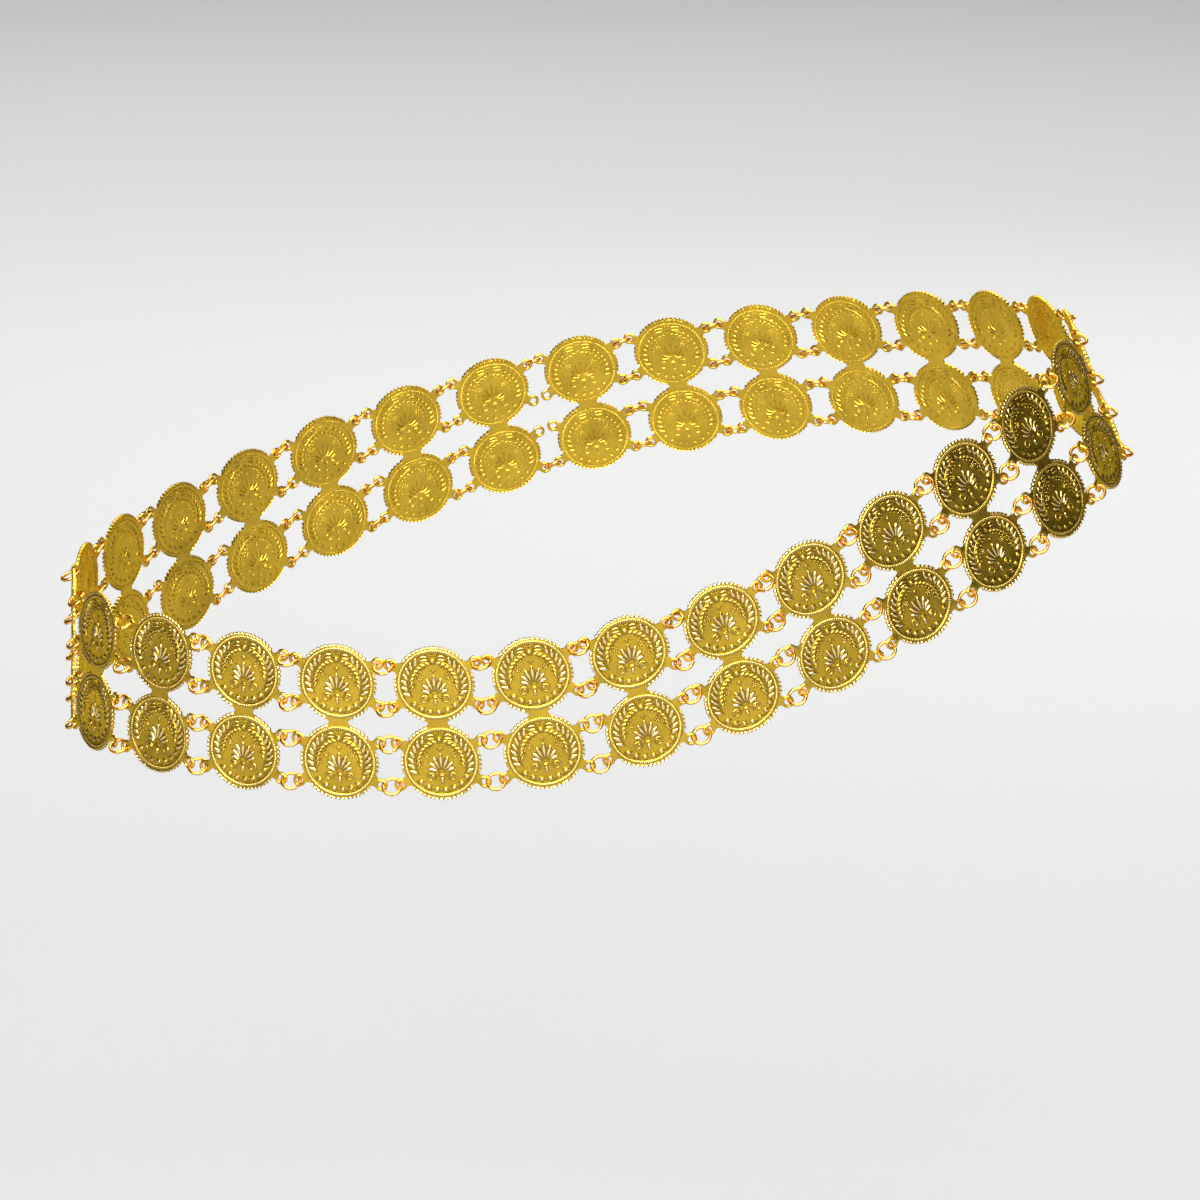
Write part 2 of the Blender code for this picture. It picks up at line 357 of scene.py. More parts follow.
class HipLine:
    """The closed line through the necks of the links, measured along from the fastening."""

    def __init__(self, worn):
        self.worn = worn
        self.angles = FASTENING_ANGLE + np.linspace(0.0, 2 * pi, PATH_STEPS + 1)
        points = [self.hip_point(angle) for angle in self.angles]
        steps = [(b - a).length for a, b in zip(points, points[1:])]
        self.lengths = np.concatenate(([0.0], np.cumsum(steps)))
        self.total = float(self.lengths[-1])

    def hip_point(self, angle):
        depth = self.worn.back_depth if sin(angle) > 0 else self.worn.front_depth
        return Vector((self.worn.half_width * cos(angle), depth * sin(angle), wave(angle, **HEIGHT)))

    def angle_at(self, along):
        return float(np.interp(along % self.total, self.lengths, self.angles))

    def point_at(self, along):
        return self.hip_point(self.angle_at(along))


def link_places(worn, coin):
    """A matrix for each link: x across the sheet, y up it and z out of its face."""
    line = HipLine(worn)
    places = []
    for number in range(LINKS):
        along = line.total / LINKS * (number + 0.5)
        angle = line.angle_at(along)
        ahead = line.point_at(along + coin.radius) - line.point_at(along - coin.radius)
        up = Vector((wave(angle, **LEAN_SIDEWAYS), wave(angle, **LEAN_FORE_AFT), 1.0)).normalized()
        across = (ahead - up * ahead.dot(up)).normalized()
        place = Matrix((across, up, across.cross(up))).transposed().to_4x4()
        place.translation = line.point_at(along)
        places.append(place)
    return places


def ear_centres(coin, side):
    """The ears of one side, top to bottom: two on the upper coin and two on the lower."""
    half = coin.spacing / 2
    heights = (half + coin.ear_along, half - coin.ear_along,
               coin.ear_along - half, -coin.ear_along - half)
    return [Vector((side * coin.ear_across, height, 0.0)) for height in heights]


def joints(coin, places):
    """For each link, its right-hand ears and the next link's left-hand ears, as pairs."""
    for number, place in enumerate(places):
        following = places[(number + 1) % LINKS]
        up = (place.col[1] + following.col[1]).to_3d().normalized()
        outward = (place.col[2] + following.col[2]).to_3d().normalized()
        yield number, up, outward, [(place @ right, following @ left) for right, left
                                    in zip(ear_centres(coin, 1), ear_centres(coin, -1))]


def joint_frame(left, right, up, outward, number):
    """Middle, gap and the two directions of a ring's plane: along the joint and its hang."""
    gap = (right - left).length
    along = (right - left).normalized()
    slack = min(max((RING_SPAN_MOST - gap) / (RING_SPAN_MOST - RING_GAP_LEAST), 0.0), 1.0)
    hang_angle = RING_HANG_TAUT + slack * (RING_HANG_SLACK - RING_HANG_TAUT)
    hang_angle += RING_SWING * sin(RING_SWING_STEP * number)
    hang = outward * sin(hang_angle) - up * cos(hang_angle)
    hang = (hang - along * hang.dot(along)).normalized()
    return (left + right) / 2, gap, along, hang


# The die: marks are points with a height, and lines that say whether the sheet folds there

def chain(first, count, fold):
    """Lines from each of the points to the next."""
    return [(number, number + 1, fold) for number in range(first, first + count - 1)]


def closed(first, count, fold):
    return chain(first, count, fold) + [(first + count - 1, first, fold)]


def leaf(length, width, height, steps=5, veined=True, belly=0.8):
    """A pointed leaf along +Y from the origin, with raised cheeks beside a sunk vein.

    It is widest near its foot with a belly under 1, and near its tip with one over 1.
    """
    cheek_share = 0.42
    vein_share = 0.6

    def rim(step, share):
        part = step / steps
        return share * width / 2 * sin(pi * part ** belly), length * part

    right = [(*rim(step, 1.0), 0.0) for step in range(steps + 1)]
    left = [(-x, y, z) for x, y, z in right[-2:0:-1]]
    outline = right + left
    first = len(outline)
    lines = closed(0, first, True)
    if not veined:
        ridge = [(0.0, rim(step, 1.0)[1], height) for step in range(1, steps)]
        return outline + ridge, lines + chain(first, len(ridge), False)
    cheek = [(*rim(step, cheek_share), height) for step in range(1, steps)]
    cheeks = cheek + [(-x, y, z) for x, y, z in reversed(cheek)]
    vein = [(0.0, rim(step, 1.0)[1], vein_share * height) for step in range(2, steps - 1)]
    lines += closed(first, len(cheeks), False)
    lines += chain(first + len(cheeks), len(vein), False)
    return outline + cheeks + vein, lines


def star(tips, outer, inner, height):
    """A star with a raised middle and a ridge to each tip; its first tip points along +X."""
    outline = [(radius * cos(pi * step / tips), radius * sin(pi * step / tips), 0.0)
               for step, radius in enumerate((outer, inner) * tips)]
    middle = len(outline)
    spokes = [(step, middle, False) for step in range(0, middle, 2)]
    return outline + [(0.0, 0.0, height)], closed(0, middle, True) + spokes


def dot(radius, height, facets):
    """A round berry: a foot, a shoulder and a top."""
    shoulder, shoulder_rise = 0.62, 0.78
    turns = [2 * pi * step / facets for step in range(facets)]
    rings = [[(radius * share * cos(turn), radius * share * sin(turn), rise) for turn in turns]
             for share, rise in ((1.0, 0.0), (shoulder, shoulder_rise * height))]
    lines = closed(0, facets, True) + closed(facets, facets, False)
    return rings[0] + rings[1] + [(0.0, 0.0, height)], lines


def rib(inner, outer, width, base, height):
    """A short rib along X between two radii, with a ridge."""
    half = width / 2
    inset = RIB_INSET * (outer - inner)
    foot = [(inner, -half, base), (outer, -half, base), (outer, half, base), (inner, half, base)]
    ridge = [(inner + inset, 0.0, base + height), (outer - inset, 0.0, base + height)]
    return foot + ridge, closed(0, len(foot), True) + chain(len(foot), len(ridge), False)


def stroke(points, width, height):
    """A line of relief along the points that swells from a pointed end and back to one."""
    count = len(points)
    left = []
    right = []
    for number in range(1, count - 1):
        before, after = Vector(points[number - 1]), Vector(points[number + 1])
        side = Vector((before.y - after.y, after.x - before.x)).normalized()
        half = width / 2 * sqrt(sin(pi * number / (count - 1)))
        left.append((*(Vector(points[number]) + half * side), 0.0))
        right.append((*(Vector(points[number]) - half * side), 0.0))
    outline = [(*points[0], 0.0), *right, (*points[-1], 0.0), *reversed(left)]
    ridge = [(*point, height) for point in points[1:-1]]
    first = len(outline)
    return outline + ridge, closed(0, first, True) + chain(first, len(ridge), False)


def placed(mark, turn=0.0, at=(0.0, 0.0), size=1.0):
    """The mark sized, turned and moved."""
    points, lines = mark
    moved = [(at[0] + size * (x * cos(turn) - y * sin(turn)),
              at[1] + size * (x * sin(turn) + y * cos(turn)), z) for x, y, z in points]
    return moved, lines


def joined(marks):
    points = []
    lines = []
    for mark_points, mark_lines in marks:
        first = len(points)
        points += mark_points
        lines += [(a + first, b + first, fold) for a, b, fold in mark_lines]
    return points, lines


# Node trees, and marks repeated round the coin by Geometry Nodes

def feed(tree, socket, value):
    """Links another node's output to the socket, or sets it to a plain value."""
    if isinstance(value, bpy.types.NodeSocket):
        tree.links.new(value, socket)
    else:
        socket.default_value = value


def add_node(tree, kind, inputs=None, **settings):
    """The outputs of a new node with the given settings and inputs."""
    node = tree.nodes.new(kind)
    for name, value in settings.items():
        setattr(node, name, value)
    for key, value in (inputs or {}).items():
        feed(tree, node.inputs[key], value)
    return node.outputs


def math_node(tree, operation, *values):
    return add_node(tree, "ShaderNodeMath", dict(enumerate(values)), operation=operation)[0]


def new_tree(name, *inputs):
    """A node group that takes geometry, the inputs and a material, and what comes in to it."""
    group = bpy.data.node_groups.new(name, "GeometryNodeTree")
    group.interface.new_socket(name="Geometry", in_out="OUTPUT", socket_type="NodeSocketGeometry")
    for label, kind in (("Geometry", "Geometry"), *inputs, ("Material", "Material")):
        group.interface.new_socket(name=label, in_out="INPUT", socket_type="NodeSocket" + kind)
    return group, add_node(group, "NodeGroupInput")


def end_tree(group, geometry, material, smooth=False):
    """Realizes what the tree made, gives it its material and puts it out."""
    last = add_node(group, "GeometryNodeRealizeInstances", {"Geometry": geometry})["Geometry"]
    if smooth:
        last = add_node(group, "GeometryNodeSetShadeSmooth", {"Geometry": last})["Geometry"]
    finish = {"Geometry": last, "Material": material}
    last = add_node(group, "GeometryNodeSetMaterial", finish)["Geometry"]
    add_node(group, "NodeGroupOutput", {"Geometry": last})


def marks_tree():
    """Copies of a mark, a step apart on an arc, each turned to face outwards."""
    group, given = new_tree("marks_on_an_arc", ("Count", "Int"), ("Radius", "Float"),
                            ("First Angle", "Float"), ("Step Angle", "Float"), ("Side", "Float"))
    index = add_node(group, "GeometryNodeInputIndex")[0]
    turned = math_node(group, "MULTIPLY", index, given["Step Angle"])
    angle = math_node(group, "ADD", turned, given["First Angle"])
    place = {axis: math_node(group, "MULTIPLY", math_node(group, operation, angle), given["Radius"])
             for axis, operation in (("X", "COSINE"), ("Y", "SINE"))}
    vectors = [add_node(group, "ShaderNodeCombineXYZ", values)[0]
               for values in (place, {"Z": angle}, {"X": 1.0, "Y": given["Side"], "Z": 1.0})]
    points = add_node(group, "GeometryNodePoints", {"Count": given["Count"], "Position": vectors[0]})
    copies = add_node(group, "GeometryNodeInstanceOnPoints", {
        "Points": points[0], "Instance": given["Geometry"], "Rotation": vectors[1], "Scale": vectors[2]})
    end_tree(group, copies[0], given["Material"])
    return group


def run_tree(name, mesh, group, values):
    """The plain mesh that the tree makes of the given one."""
    item = bpy.data.objects.new(name, mesh)
    bpy.context.scene.collection.objects.link(item)
    modifier = item.modifiers.new("made", "NODES")
    modifier.node_group = group
    for socket in group.interface.items_tree:
        if socket.in_out == "INPUT" and socket.name in values:
            modifier[socket.identifier] = values[socket.name]
    made = item.evaluated_get(bpy.context.evaluated_depsgraph_get())
    result = bpy.data.meshes.new_from_object(made)
    bpy.data.objects.remove(item, do_unlink=True)
    return result


def repeated(group, mark, count, radius, first, step, side=1.0):
    """The points and lines of a mark repeated on an arc."""
    points, lines = mark
    mesh = bpy.data.meshes.new("mark")
    mesh.from_pydata(points, [(a, b) for a, b, _ in lines], [])
    for edge, (_, _, fold) in zip(mesh.edges, lines):
        edge.use_edge_sharp = fold
    made = run_tree("mark", mesh, group, {
        "Count": count, "Radius": radius, "First Angle": first, "Step Angle": step, "Side": side})
    return ([tuple(vertex.co) for vertex in made.vertices],
            [(*edge.vertices, edge.use_edge_sharp) for edge in made.edges])


# The coin's design

def circle(radius, height, fold):
    turns = [2 * pi * step / CIRCLE_FACETS for step in range(CIRCLE_FACETS)]
    return ([(radius * cos(turn), radius * sin(turn), height) for turn in turns],
            closed(0, CIRCLE_FACETS, fold))


def reeded_ring(coin, tree):
    """A raised band with fine ribs across it."""
    inner, outer = (share * coin.radius for share in RIB_BAND)
    pitch = 2 * pi / coin.ribs
    reach = RIB_REACH * (outer - inner)
    mark = rib(-reach, reach, RIB_WIDTH * pitch * inner, RIB_BAND_RISE, coin.rib_rise)
    return [circle(FIELD_EDGE * coin.radius, 0.0, True),
            circle(inner, RIB_BAND_RISE, False),
            circle(outer, RIB_BAND_RISE, False),
            circle(RIB_BAND_EDGE * coin.radius, PLAIN_BAND_RISE, True),
            circle(TOOTH_FOOT * coin.radius, PLAIN_BAND_RISE, False),
            repeated(tree, mark, coin.ribs, (inner + outer) / 2, 0.0, pitch)]


def arc_stem(wreath, side):
    """The stem of one branch, from beside the burst down to the first star."""
    points = [(-side * wreath.stem_radius * sin(turn), wreath.stem_radius * cos(turn))
              for turn in np.linspace(*STEM_ARC)]
    return stroke(points, *STEM)


def branch(wreath, tree, side):
    """Stem, leaves and berries on one side; the leaves point up towards the burst."""
    def row(mark, count, radius, first, flip):
        return repeated(tree, mark, count, radius, pi / 2 + side * first, side * wreath.leaf_step, flip)

    long_leaf = leaf(wreath.leaf_length, wreath.leaf_width, wreath.leaf_rise)
    short_leaf = leaf(SHORT_LEAF_SHARES["length"] * wreath.leaf_length,
                      SHORT_LEAF_SHARES["width"] * wreath.leaf_width,
                      SHORT_LEAF_SHARES["rise"] * wreath.leaf_rise, 4, False)
    return [arc_stem(wreath, side),
            row(placed(long_leaf, -LONG_LEAF_LEAN), wreath.outer_leaves,
                wreath.stem_radius + LEAF_OFFSET, FIRST_LONG_LEAF, -side),
            row(placed(short_leaf, SHORT_LEAF_LEAN), wreath.inner_leaves,
                wreath.stem_radius - LEAF_OFFSET, FIRST_SHORT_LEAF, -side),
            row(dot(*BERRY), wreath.inner_leaves - 1,
                wreath.stem_radius - BERRY_INSET, FIRST_BERRY, 1.0)]


def burst(wreath, tree):
    """The burst where the branches meet, its ribbons to both sides and the dots over it."""
    height = BURST_HEIGHT * wreath.stem_radius
    marks = [placed(star(*BURST), pi / 2, (0.0, height))]
    for side in (-1, 1):
        for rise, reach, arch in RIBBONS:
            start = Vector((side * RIBBON_START, height + rise * MM))
            ribbon = [start + Vector((side * reach * MM * part,
                                      arch * MM * sin(pi * part) - RIBBON_DROP * part))
                      for part in np.linspace(0.0, 1.0, RIBBON_POINTS)]
            marks.append(stroke([tuple(point) for point in ribbon], *RIBBON))
    marks.append(repeated(tree, dot(*BERRY), 2, TOP_DOTS_RADIUS,
                          pi / 2 - TOP_DOTS_APART / 2, TOP_DOTS_APART))
    return marks


def stars(wreath, tree):
    """The row of stars that closes the wreath below."""
    mark = star(STAR_TIPS, wreath.star_radius, STAR_INNER * wreath.star_radius, STAR_RISE)
    first = STARS_MIDDLE - STAR_STEP * (wreath.stars - 1) / 2
    return [repeated(tree, mark, wreath.stars, wreath.star_circle, first, STAR_STEP)]


def scroll(side):
    """A volute that rolls outwards from the palmette's foot."""
    widest, tightening, lead = 1.25, 0.085, 0.5
    points = []
    for turn in np.linspace(*SCROLL_TURNS):
        radius = (widest - tightening * turn) * MM
        points.append((side * (SCROLL_MIDDLE[0] - radius * cos(turn - lead)),
                       SCROLL_MIDDLE[1] + radius * sin(turn - lead)))
    return stroke(points, *SCROLL)


def palmette():
    """The middle of the coin: a fan of petals on two scrolls, tied, with a pendant leaf."""
    longest, shortening, power = 4.5, 0.52, 1.15
    marks = []
    for step in range(-PETALS_ASIDE, PETALS_ASIDE + 1):
        turn = PETAL_STEP * step
        length_here = (longest - shortening * abs(step) ** power) * MM
        at = (-PETAL_FOOT * sin(turn), PALMETTE_FOOT + PETAL_FOOT * cos(turn))
        marks.append(placed(leaf(length_here, *PETAL, belly=1.3), turn, at))
    marks += [scroll(side) for side in (-1, 1)]
    for drop in TIE_DROPS:
        marks.append(stroke([(x * MM, PALMETTE_FOOT - drop) for x in TIE_ACROSS], *TIE))
    marks.append(placed(leaf(*PENDANT), pi, (0.0, PALMETTE_FOOT - PENDANT_DROP)))
    return [placed(joined(marks), 0.0, (0.0, PALMETTE_DROP), PALMETTE_SIZE),
            placed(star(*TOP_STAR), 0.0, (0.0, TOP_STAR_HEIGHT))]


def florets():
    """A small flower at each side of the palmette."""
    marks = []
    for side in (-1, 1):
        middle = (side * FLORET_MIDDLE[0], FLORET_MIDDLE[1])
        marks.append(placed(dot(*FLORET_HEART), 0.0, middle))
        for step in range(FLORET_PETALS):
            turn = 2 * pi * step / FLORET_PETALS
            at = (middle[0] - FLORET_RADIUS * sin(turn), middle[1] + FLORET_RADIUS * cos(turn))
            marks.append(placed(leaf(*FLORET_PETAL), turn, at))
    return marks


def bare_field(coin, marks):
    """Loose points spread over the field where it is clear of every mark."""
    points, lines = marks
    flat = np.array([point[:2] for point in points])
    starts = flat[[a for a, _, _ in lines]]
    spans = flat[[b for _, b, _ in lines]] - starts
    squares = (spans ** 2).sum(axis=1)
    reach = FIELD_EDGE * coin.radius - FIELD_CLEARANCE
    rows = int(reach / FIELD_PITCH)
    free = []
    for row in range(-rows, rows + 1):
        for column in range(-rows, rows + 1):
            place = np.array((FIELD_PITCH * (column + 0.5 * (row % 2)), FIELD_PITCH * row))
            along = np.clip(((place - starts) * spans).sum(axis=1) / squares, 0.0, 1.0)
            gaps = np.hypot(*(starts + along[:, None] * spans - place).T)
            if hypot(*place) < reach and gaps.min() > FIELD_CLEARANCE:
                free.append((*place, 0.0))
    return free, []


def coin_design(coin, wreath, tree):
    """All the marks of one coin inside its edge, about the coin's own middle."""
    marks = reeded_ring(coin, tree) + burst(wreath, tree) + stars(wreath, tree)
    for side in (-1.0, 1.0):
        marks += branch(wreath, tree, side)
    design = joined(marks + palmette() + florets())
    return joined([design, bare_field(coin, design)])


# The link's outline

def on_circle(centre, radius, angle):
    return Vector((centre[0] + radius * cos(angle), centre[1] + radius * sin(angle)))


def arc(centre, radius, start, sweep, facets):
    return [on_circle(centre, radius, start + sweep * step / facets) for step in range(facets + 1)]


def bearing(start, end):
    return atan2(end[1] - start[1], end[0] - start[0])


def short_way(angle):
    return (angle + pi) % (2 * pi) - pi


class Edge:
    """The closed outline of a link, with the heights of face and back along it."""

    EAR_FACETS = 14
    THROAT_FACETS = 4
    NECK_FACETS = 5

    def __init__(self, coin):
        self.coin = coin
        self.centre = Vector((0.0, coin.spacing / 2))
        self.notch = NOTCH * coin.radius
        self.throat = THROAT_RADIUS
        self.points = []
        self.heights = []
        self.teeth = []
        self.trace_upper_coin()

    def add(self, points, height):
        self.points += points
        self.heights += [height] * len(points)

    def whole(self):
        """Both coins' outline; the lower one's is the upper one's turned half round."""
        return self.points + [-point for point in self.points]

    def throat_turn(self):
        """Angle at the coin's middle between an ear and the throat's end on the coin."""
        across = hypot(self.coin.ear_across, self.coin.ear_along)
        near = self.notch + self.throat
        far = self.coin.ear_radius + self.throat
        return acos((near ** 2 + across ** 2 - far ** 2) / (2 * near * across))

    def trace_ear(self, direction):
        middle = on_circle(self.centre, hypot(self.coin.ear_across, self.coin.ear_along), direction)
        plain = self.coin.sheet / 2
        away = self.notch + self.throat
        throats = [on_circle(self.centre, away, direction + side * self.throat_turn())
                   for side in (-1, 1)]
        starts = [bearing(throats[0], self.centre), bearing(throats[1], middle)]
        ends = [bearing(throats[0], middle), bearing(throats[1], self.centre)]
        self.add(arc(throats[0], self.throat, starts[0], short_way(ends[0] - starts[0]),
                     self.THROAT_FACETS)[:-1], plain)
        first = bearing(middle, throats[0])
        sweep = (bearing(middle, throats[1]) - first) % (2 * pi)
        self.add(arc(middle, self.coin.ear_radius, first, sweep, self.EAR_FACETS),
                 EAR_RIM_RISE * self.coin.ear_rise)
        self.add(arc(throats[1], self.throat, starts[1], short_way(ends[1] - starts[1]),
                     self.THROAT_FACETS)[1:], plain)

    def trace_teeth(self, start, end):
        """Saw teeth that lean anticlockwise; the notch at each end belongs to the throats."""
        count = round((end - start) * self.coin.teeth / (2 * pi))
        step = (end - start) / count
        self.teeth.append((count, start, step))
        shoulder = self.notch + SHOULDER_RISE * (self.coin.radius - self.notch)
        for number in range(count):
            angle = start + number * step
            if number:
                self.add([on_circle(self.centre, self.notch, angle)], self.coin.sheet / 2)
            self.add([on_circle(self.centre, shoulder, angle + SHOULDER * step),
                      on_circle(self.centre, self.coin.radius, angle + TIP * step)],
                     self.coin.sheet / 2 + TOOTH_THICKENING)

    def trace_upper_coin(self):
        """From the neck's right side anticlockwise to its left."""
        reach = self.coin.radius - self.coin.neck_width / 2
        aside = (self.centre.y ** 2 - reach ** 2) / (2 * reach)
        neck_radius = aside - self.coin.neck_width / 2
        lean = atan2(self.centre.y, aside)
        ear_angle = atan2(self.coin.ear_along, self.coin.ear_across)
        web = self.throat_turn()
        directions = (-ear_angle, ear_angle, pi - ear_angle, pi + ear_angle)
        self.add(arc((aside, 0.0), neck_radius, pi, -lean, self.NECK_FACETS), self.coin.sheet / 2)
        last = -lean
        for direction in directions:
            self.trace_teeth(last, direction - web)
            self.trace_ear(direction)
            last = direction + web
        self.trace_teeth(last, pi + lean)
        self.add(arc((-aside, 0.0), neck_radius, lean, -lean, self.NECK_FACETS)[:-1],
                 self.coin.sheet / 2)


def tooth_lines(coin, tree, edge):
    """The slanted ridges and troughs of the teeth, about the upper coin's middle."""
    pitch = 2 * pi / coin.teeth * coin.radius
    foot = (1.0 - TOOTH_FOOT) * coin.radius
    depth = (1.0 - NOTCH) * coin.radius
    points = [(-inwards * foot, onwards * pitch, TOOTH_RISE) for inwards, onwards in RIDGES]
    points += [(-TROUGH_START[0] * foot, TROUGH_START[1] * pitch, 0.0),
               (-depth - TROUGH_END[0], TROUGH_END[1] * pitch, 0.0)]
    mark = (points, [(0, 1, False), (2, 3, False), (4, 5, True)])
    return joined([repeated(tree, mark, count, coin.radius, start, step)
                   for count, start, step in edge.teeth])


# Striking the sheet

class Die:
    """All the lines of a link, with the height of the face and of the back at each point."""

    def __init__(self, coin):
        self.coin = coin
        self.flat = []
        self.face = []
        self.back = []
        self.relief = []
        self.painted_shade_mask = []
        self.lines = []

    def add(self, points, faces, backs, reliefs, lines):
        first = len(self.flat)
        feet = {number for a, b, fold in lines if fold for number in (a, b)}
        self.flat += [Vector(point[:2]) for point in points]
        self.face += faces
        self.back += backs
        self.relief += reliefs
        # Painted shade mask: full at the foot lines of every mark, where shade is painted round the
        # relief
        self.painted_shade_mask += [1.0 if number in feet else 0.0 for number in range(len(points))]
        self.lines += [(a + first, b + first, fold) for a, b, fold in lines]

    def add_marks(self, marks, offset, turned=False):
        """Relief that is pressed through the sheet, so that the back shows it sunk."""
        points, lines = marks
        flip = -1.0 if turned else 1.0
        self.add([(flip * (x + offset[0]), flip * (y + offset[1])) for x, y, _ in points],
                 [self.coin.sheet / 2 + z for _, _, z in points],
                 [PRESSED_THROUGH * z - self.coin.sheet / 2 for _, _, z in points],
                 [z for _, _, z in points], lines)

    def add_edge(self, edge):
        points = edge.whole()
        faces = edge.heights * 2
        first = len(self.flat)
        self.add(points, faces, [-height for height in faces], [0.0] * len(points),
                 closed(0, len(points), True))
        # No painted shade along the link's outline
        self.painted_shade_mask[first:] = [0.0] * len(points)

    def add_ear(self, centre):
        """Rings round an ear's hole that round its rim like wire."""
        coin = self.coin
        width = coin.ear_radius - coin.ear_hole
        for share, rise in EAR_RINGS:
            radius = coin.ear_hole + share * width
            points = arc(centre, radius, 0.0, 2 * pi, EAR_RING_FACETS)[:-1]
            heights = [rise * coin.ear_rise] * len(points)
            self.add(points, heights, [-height for height in heights], [0.0] * len(points),
                     closed(0, len(points), False))


def within(points, outline):
    """Which of the points lie inside the closed outline."""
    inside = np.zeros(len(points), bool)
    for (ax, ay), (bx, by) in zip(outline, np.roll(outline, -1, axis=0)):
        spans = (ay > points[:, 1]) != (by > points[:, 1])
        with np.errstate(divide="ignore", invalid="ignore"):
            crossing = ax + (points[:, 1] - ay) * (bx - ax) / (by - ay)
        inside ^= spans & (points[:, 0] < crossing)
    return inside


class Struck:
    """The sheet stretched over the die: points with face and back heights, and triangles."""

    def __init__(self, die, outline, holes, hole_radius):
        result = delaunay_2d_cdt(
            die.flat, [line[:2] for line in die.lines], [], INSIDE_THE_LINES, CROSSING, True)
        flat, edges, faces, from_points, from_lines, _ = result
        lost = sum(not sources for sources in from_points)
        if lost:
            raise RuntimeError(f"{lost} lines of the die cross")
        self.flat = np.array([tuple(point) for point in flat])
        self.face, self.back, self.relief, self.painted_shade_mask = (
            np.array([values[sources[0]] for sources in from_points])
            for values in (die.face, die.back, die.relief, die.painted_shade_mask))
        middles = self.flat[np.array(faces)].mean(axis=1)
        kept = within(middles, outline)
        for hole in holes:
            kept &= np.hypot(*(middles - np.array(hole.to_2d())).T) > hole_radius
        self.triangles = [tuple(face) for face, stays in zip(faces, kept) if stays]
        self.folds = {frozenset(edge) for edge, sources in zip(edges, from_lines)
                      if any(die.lines[source][2] for source in sources)}
        self.rim = self.open_edges()

    def open_edges(self):
        """Edges with one triangle, in that triangle's direction."""
        seen = dict.fromkeys((a, b) for triangle in self.triangles
                             for a, b in zip(triangle, triangle[1:] + triangle[:1]))
        return [(a, b) for a, b in seen if (b, a) not in seen]

    def mesh(self, name, place, lift):
        """The sheet as one closed mesh, with its middle moved by lift(x, y)."""
        count = len(self.flat)
        lifts = np.array([lift(x, y) for x, y in self.flat])
        local = np.concatenate([np.column_stack([self.flat, self.face + lifts]),
                                np.column_stack([self.flat, self.back + lifts])])
        matrix = np.array(place)
        points = local @ matrix[:3, :3].T + matrix[:3, 3]
        faces = list(self.triangles)
        faces += [(c + count, b + count, a + count) for a, b, c in self.triangles]
        faces += [(b, a, a + count, b + count) for a, b in self.rim]
        mesh = bpy.data.meshes.new(name)
        mesh.from_pydata(points.tolist(), [], faces)
        mesh.shade_smooth()
        for edge in mesh.edges:
            a, b = (number % count for number in edge.vertices)
            edge.use_edge_sharp = a != b and frozenset((a, b)) in self.folds
        # Painted shade: on the face at the feet of the marks, on the back darker in the deeper hollows
        back_painted_shade = np.clip(self.relief / FULL_PAINTED_SHADE_DEPTH, 0.0, 1.0)
        for kind, values in (("relief", [self.relief, -PRESSED_THROUGH * self.relief]),
                             ("painted_shade_mask", [self.painted_shade_mask, back_painted_shade])):
            attribute = mesh.attributes.new(kind, "FLOAT", "POINT")
            attribute.data.foreach_set("value", np.concatenate(values).astype(np.float32))
        return mesh


def strike(coin, wreath):
    """One struck link, ready to be placed."""
    tree = marks_tree()
    edge = Edge(coin)
    die = Die(coin)
    die.add_edge(edge)
    design = coin_design(coin, wreath, tree)
    teeth = tooth_lines(coin, tree, edge)
    centre = edge.centre
    for side in (-1.0, 1.0):
        die.add_marks(design, (0.0, side * centre.y))
    die.add_marks(teeth, centre)
    die.add_marks(teeth, centre, turned=True)
    holes = ear_centres(coin, -1) + ear_centres(coin, 1)
    for hole in holes:
        die.add_ear(hole)
    return Struck(die, np.array([tuple(point) for point in edge.whole()]), holes, coin.ear_hole)


def sprung(coin, number):
    """How far a link's thin sheet springs out of true: a lean and a bulge in each coin's field."""
    dice = random.Random(number)
    field = FIELD_EDGE * coin.radius
    ways = {side: [coin.spring * dice.uniform(-1.0, 1.0) for _ in range(3)] for side in (-1, 1)}

    def lift(x, y):
        side = 1 if y > 0 else -1
        up = y - side * coin.spacing / 2
        share = hypot(x, up) / field
        if share >= 1.0:
            return 0.0
        lean_x, lean_y, bulge = ways[side]
        lean = (lean_x * x / field + lean_y * up / field) * (1 - share ** 4)
        return lean + bulge * (1 - share ** 2) ** 2

    return lift


# Materials

def mapped(tree, value, low, high, to_low, to_high):
    ends = {"From Min": low, "From Max": high, "To Min": to_low, "To Max": to_high}
    return add_node(tree, "ShaderNodeMapRange", {"Value": value, **ends})["Result"]


def mixed(tree, share, first, second):
    """A colour between the two; a plain one is given as red, green and blue."""
    colours = [one if isinstance(one, bpy.types.NodeSocket) else (*one, 1.0) for one in (first, second)]
    inputs = dict(zip(MIX_INPUTS, (share, *colours)))
    return add_node(tree, "ShaderNodeMix", inputs, data_type="RGBA")[MIX_RESULT]


def noise(tree, place, scale, detail=3.0):
    return add_node(tree, "ShaderNodeTexNoise", {
        "Scale": scale, "Detail": detail, "Roughness": NOISE_ROUGHNESS, "Vector": place})["Fac"]


def bumped(tree, height, strength, distance, **normal):
    inputs = {"Strength": strength, "Distance": distance, "Height": height, **normal}
    return add_node(tree, "ShaderNodeBump", inputs)["Normal"]


def new_metal(name):
    """A metal, its node tree, its shader's inputs and the place on the object."""
    material = bpy.data.materials.new(name)
    material.use_nodes = True
    tree = material.node_tree
    surface = tree.nodes["Principled BSDF"].inputs
    surface["Metallic"].default_value = 1.0
    surface["Specular Tint"].default_value = EDGE_TINT
    return material, tree, surface, add_node(tree, "ShaderNodeTexCoord")["Object"]


